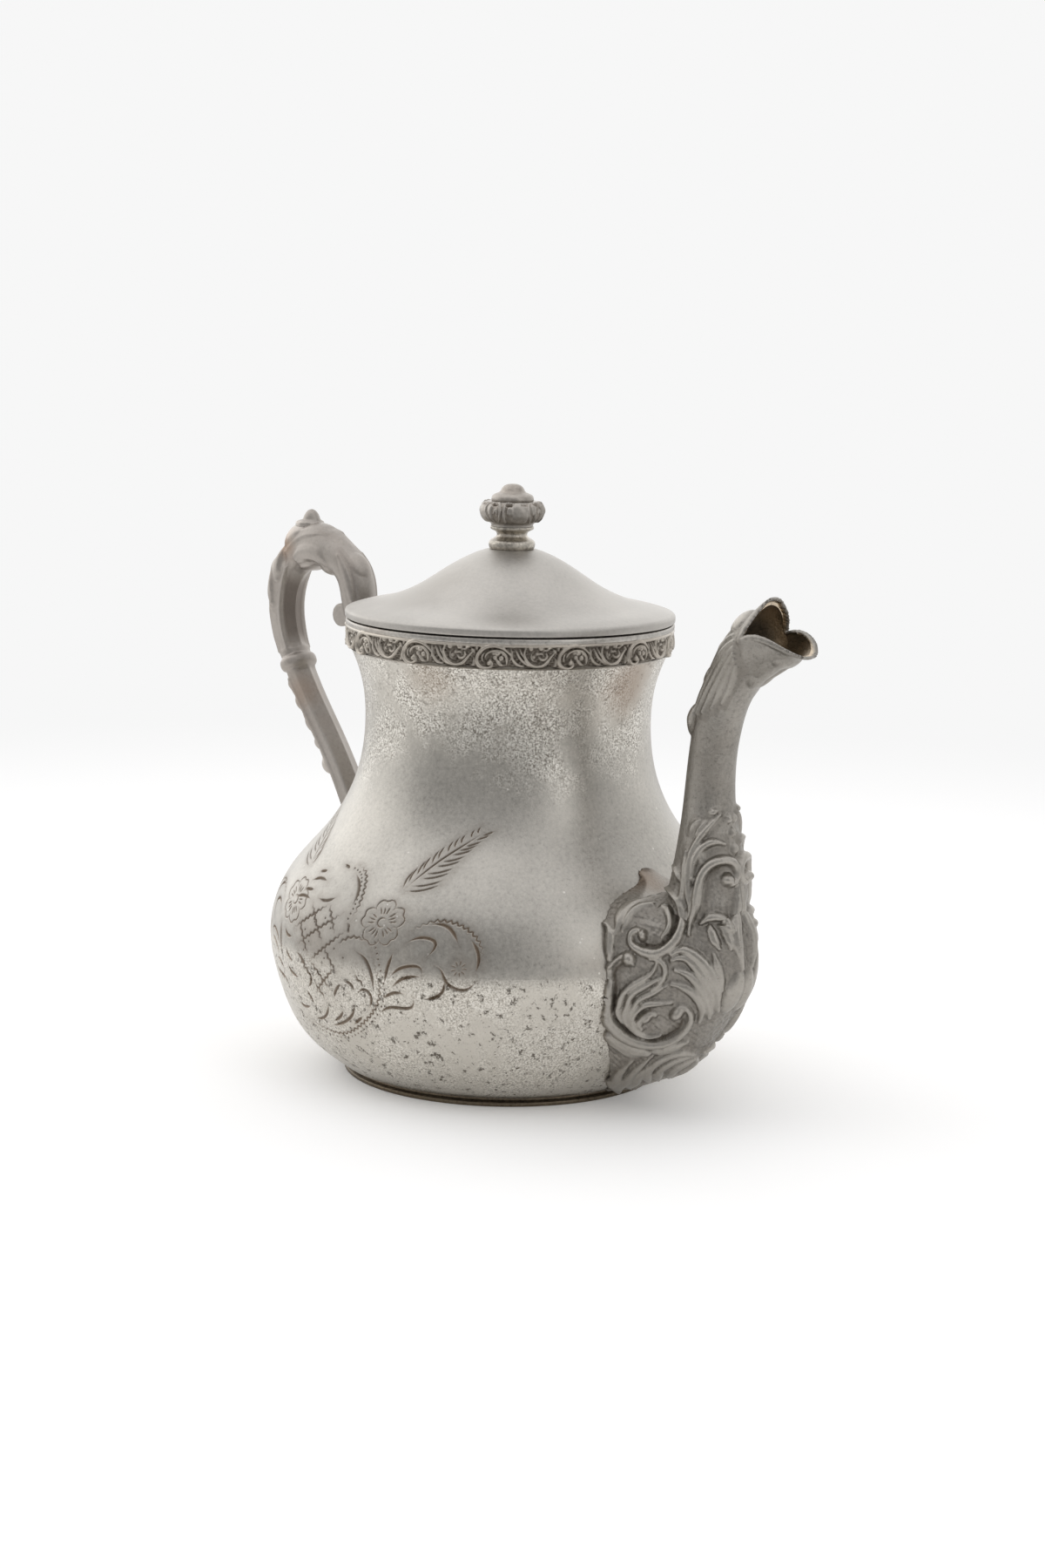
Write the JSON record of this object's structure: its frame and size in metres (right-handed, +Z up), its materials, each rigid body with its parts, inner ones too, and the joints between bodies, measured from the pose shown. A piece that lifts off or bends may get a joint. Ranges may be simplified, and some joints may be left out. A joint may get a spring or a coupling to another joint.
{
  "type": "pewter teapot",
  "caption": "Bellied pewter teapot on a low ring foot, with a cast scroll-work spout and C-shaped handle, a cast border round the neck and a domed lid hinged at the handle side.",
  "frame": {"origin": "middle of the ring foot on the table, on the axis of the round body", "axes": "+Z up, +X towards the spout (the handle and the lid hinge are at -X), Y across the pot"},
  "size_m": [0.2257, 0.1432, 0.1799],
  "materials": {
    "spun_pewter": "satin",
    "cast_pewter": "satin",
    "dark_cast_pewter": "satin",
    "lid_pewter": "satin",
    "brass_fitting": "satin"
  },
  "bodies": {
    "pot": {"lower_shell": "spun_pewter", "upper_shell": "spun_pewter", "base_plate": "spun_pewter", "foot_ring": "dark_cast_pewter", "rim_band": "dark_cast_pewter", "mouth_ring": "spun_pewter", "spout_left_half": "cast_pewter", "spout_right_half": "cast_pewter", "handle_left_half": "cast_pewter", "handle_right_half": "cast_pewter", "hinge_block": "dark_cast_pewter", "hinge_pin": "brass_fitting"},
    "lid": {"lid_shell": "lid_pewter", "lid_bezel": "lid_pewter", "hinge_strap": "dark_cast_pewter", "finial_stem": "lid_pewter", "finial_knob": "lid_pewter", "finial_cap": "lid_pewter", "finial_stud": "brass_fitting", "finial_washer": "brass_fitting", "finial_nut": "brass_fitting"}
  },
  "joints": [
    {"name": "lid_hinge", "type": "hinge", "parent": "pot", "child": "lid", "pos_m": [-0.0529, 0, 0.1392], "axis": [0, -1, 0], "range_deg": [0, 110]}
  ]
}
